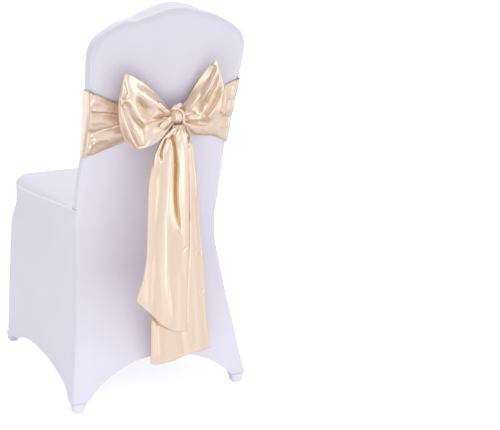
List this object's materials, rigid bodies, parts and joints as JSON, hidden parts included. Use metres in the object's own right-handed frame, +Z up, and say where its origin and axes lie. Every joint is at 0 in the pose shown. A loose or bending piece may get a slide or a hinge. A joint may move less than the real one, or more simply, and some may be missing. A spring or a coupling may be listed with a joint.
{
  "type": "fitted chair cover with a tied sash",
  "caption": "White stretch cover for a banquet chair, with arched hems and foot pockets, and a champagne satin sash tied in a bow behind the backrest.",
  "frame": {"origin": "centre of the object's box in plan, on the ground under the foot pockets", "axes": "+Z up; the back of the backrest, with the bow, faces -Y and the seat runs towards +Y; +X is to the right as seen from behind"},
  "size_m": [0.464, 0.5943, 0.9477],
  "materials": {
    "white_stretch_cloth": "matt knitted stretch cloth",
    "champagne_satin": "glossy satin weave"
  },
  "bodies": {
    "root": {"back_panel": "white_stretch_cloth", "inner_back_panel": "white_stretch_cloth", "seat_panel": "white_stretch_cloth", "skirt_left": "white_stretch_cloth", "skirt_right": "white_stretch_cloth", "skirt_front": "white_stretch_cloth", "foot_pocket_rear_left": "white_stretch_cloth", "foot_pocket_rear_right": "white_stretch_cloth", "foot_pocket_front_left": "white_stretch_cloth", "foot_pocket_front_right": "white_stretch_cloth", "sash_band": "champagne_satin", "bow_loop_left": "champagne_satin", "bow_loop_right": "champagne_satin", "bow_knot": "champagne_satin", "tail_front": "champagne_satin", "tail_rear": "champagne_satin"}
  },
  "joints": []
}
